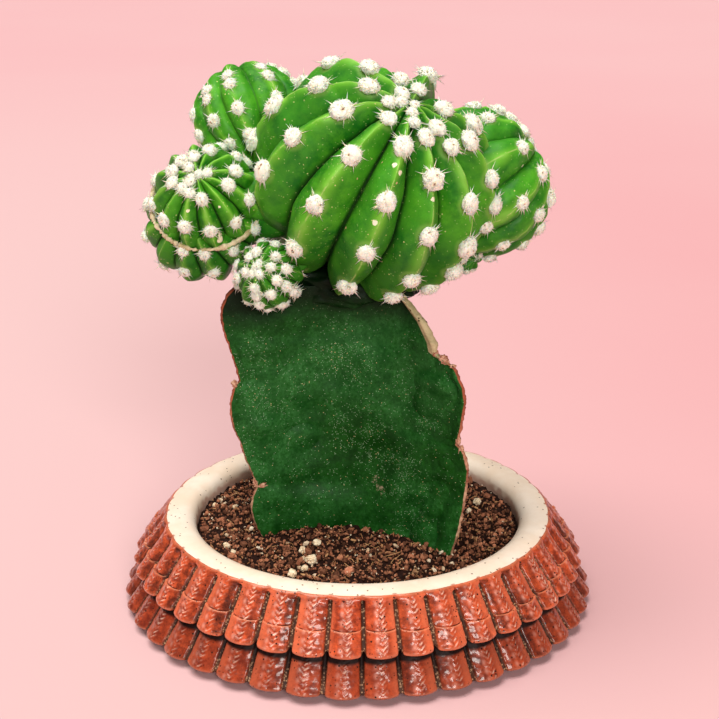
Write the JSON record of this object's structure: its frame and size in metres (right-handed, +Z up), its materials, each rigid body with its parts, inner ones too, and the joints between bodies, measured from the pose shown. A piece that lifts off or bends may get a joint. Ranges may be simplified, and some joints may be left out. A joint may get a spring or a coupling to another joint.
{
  "type": "potted grafted cactus",
  "caption": "Cluster of ribbed green cactus heads with woolly areoles, grafted on a three-winged stem, in a shallow glazed bowl faced with upright tiles.",
  "frame": {"origin": "middle of the bowl's foot, on the surface that it stands on", "axes": "+Z up, along the plant; -Y is the side that faces the picture's camera; +X to its right"},
  "size_m": [0.1679, 0.1679, 0.1905],
  "materials": {
    "bowl_glaze": "glossy orange-red glaze over pressed tiles, with a bare cream stoneware rim",
    "soil": "matte dark brown granules",
    "stem_skin": "satin dark green plant skin with corky brown ridges",
    "head_skin": "satin bright green plant skin",
    "wool": "ivory woolly areoles with short pale spines",
    "pumice": "rough porous beige grit",
    "bark": "matte fibrous brown chip",
    "red_clay": "matte red clay chip"
  },
  "bodies": {
    "root": {"pot": "bowl_glaze", "soil": "soil", "rootstock": "stem_skin", "main_head": "head_skin", "offset_left": "head_skin", "offset_left_lower": "head_skin", "offset_front_small": "head_skin", "offset_upper_left": "head_skin", "offset_right": "head_skin", "offset_right_lower": "head_skin", "pumice_large": "pumice", "pumice_front_left": "pumice", "pumice_front": "pumice", "pumice_by_stem": "pumice", "pumice_middle": "pumice", "pumice_left": "pumice", "pumice_left_small": "pumice", "pumice_back_left": "pumice", "pumice_behind_left": "pumice", "pumice_right": "pumice", "pumice_right_small": "pumice", "bark_chip": "bark", "clay_chip": "red_clay"}
  },
  "joints": []
}
